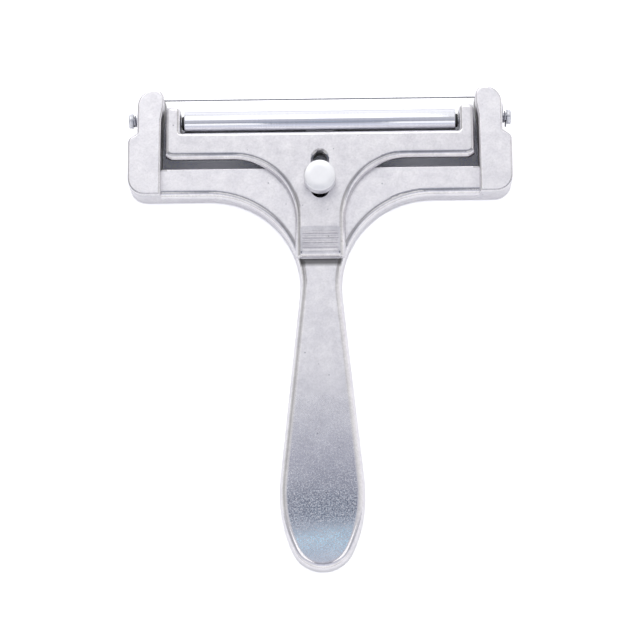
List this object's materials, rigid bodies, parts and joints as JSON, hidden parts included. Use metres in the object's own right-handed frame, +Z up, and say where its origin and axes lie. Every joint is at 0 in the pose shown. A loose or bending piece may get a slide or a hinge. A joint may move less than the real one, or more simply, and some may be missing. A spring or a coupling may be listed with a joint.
{
  "type": "wire cheese slicer",
  "caption": "Hand cheese slicer: a cast handle with two posts that hold a taut wire, and a sliding carriage with a roller that a thumb knob clamps to set the slice.",
  "frame": {"origin": "middle of the length and width, on the flat underside that the object lies on", "axes": "+X along the cutting wire, +Y from the end of the handle to the wire, +Z up through the knob"},
  "size_m": [0.1312, 0.165, 0.0175],
  "materials": {
    "cast_aluminium": "satin, tumbled casting",
    "roller_steel": "polished",
    "axle_steel": "ground",
    "bush_plastic": "moulded",
    "wire_steel": "drawn",
    "plated_steel": "zinc plated",
    "knob_metal": "turned and knurled"
  },
  "bodies": {
    "frame": {"frame_handle": "cast_aluminium", "cutting_wire": "wire_steel", "wire_washer_left": "plated_steel", "wire_washer_right": "plated_steel", "wire_screw_left": "plated_steel", "wire_screw_right": "plated_steel"},
    "carriage": {"roller_carriage": "cast_aluminium", "roller_axle": "axle_steel"},
    "roller": {"roller_tube": "roller_steel", "roller_bush_left": "bush_plastic", "roller_bush_right": "bush_plastic"},
    "clamp_washer": {"knob_washer": "plated_steel"},
    "knob": {"lock_knob": "knob_metal", "lock_stud": "plated_steel"}
  },
  "joints": [
    {"name": "carriage_slide", "type": "slide", "parent": "frame", "child": "carriage", "axis": [0, 1, 0], "range_m": [-0.008, 0.0034]},
    {"name": "roller_spin", "type": "hinge", "parent": "carriage", "child": "roller", "pos_m": [0, 0.0716, 0.007], "axis": [1, 0, 0], "continuous": true},
    {"name": "knob_lift", "type": "slide", "parent": "frame", "child": "clamp_washer", "axis": [0, 0, 1], "range_m": [0, 0.0014]},
    {"name": "knob_turn", "type": "hinge", "parent": "clamp_washer", "child": "knob", "pos_m": [0, 0.0498, 0.0125], "axis": [0, 0, 1], "range_deg": [0, 720]}
  ],
  "couplings": [
    {"joint": "knob_turn", "follows": "knob_lift", "rad_per_m": 8976}
  ]
}
